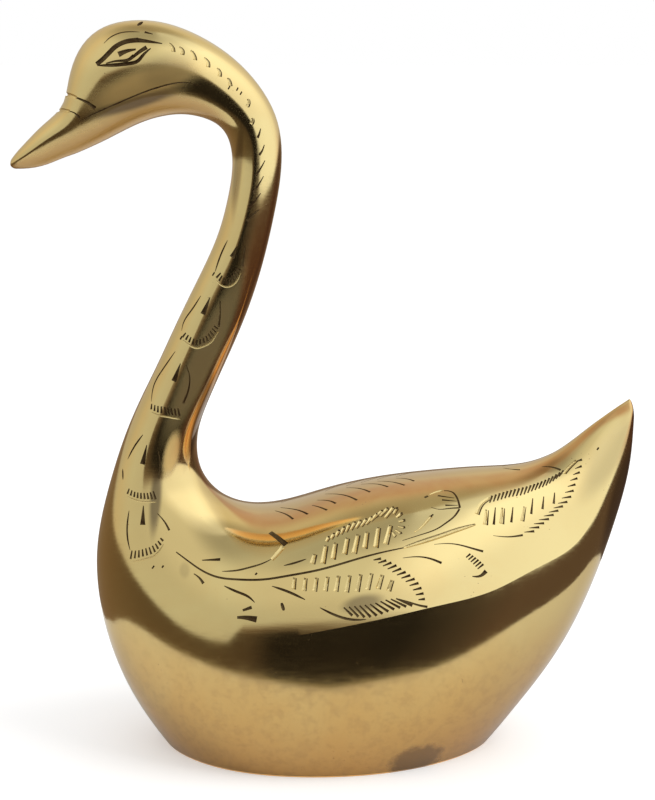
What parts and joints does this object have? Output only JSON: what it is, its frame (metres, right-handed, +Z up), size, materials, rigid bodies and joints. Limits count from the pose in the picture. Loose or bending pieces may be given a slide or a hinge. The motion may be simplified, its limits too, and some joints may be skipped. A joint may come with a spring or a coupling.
{
  "type": "brass duck figurine",
  "caption": "Free-standing cast brass duck with a long swan-like neck, raised pointed tail, hollow body on a flat rim, and engraved leaf ornament.",
  "frame": {"origin": "on the surface it stands on, under the middle of its length, on the mirror plane", "axes": "+Z up, -X the way the duck faces, +X towards the tail, +Y the duck's right side"},
  "size_m": [0.127, 0.0532, 0.15],
  "materials": {
    "polished_brass": "hand polished, with light tarnish and small casting pits",
    "brazing_brass": "as brazed, dull"
  },
  "bodies": {
    "root": {"body_left_shell": "polished_brass", "body_right_shell": "polished_brass", "neck_and_head": "polished_brass", "neck_braze": "brazing_brass", "seam_braze_breast": "brazing_brass", "seam_braze_back": "brazing_brass"}
  },
  "joints": []
}
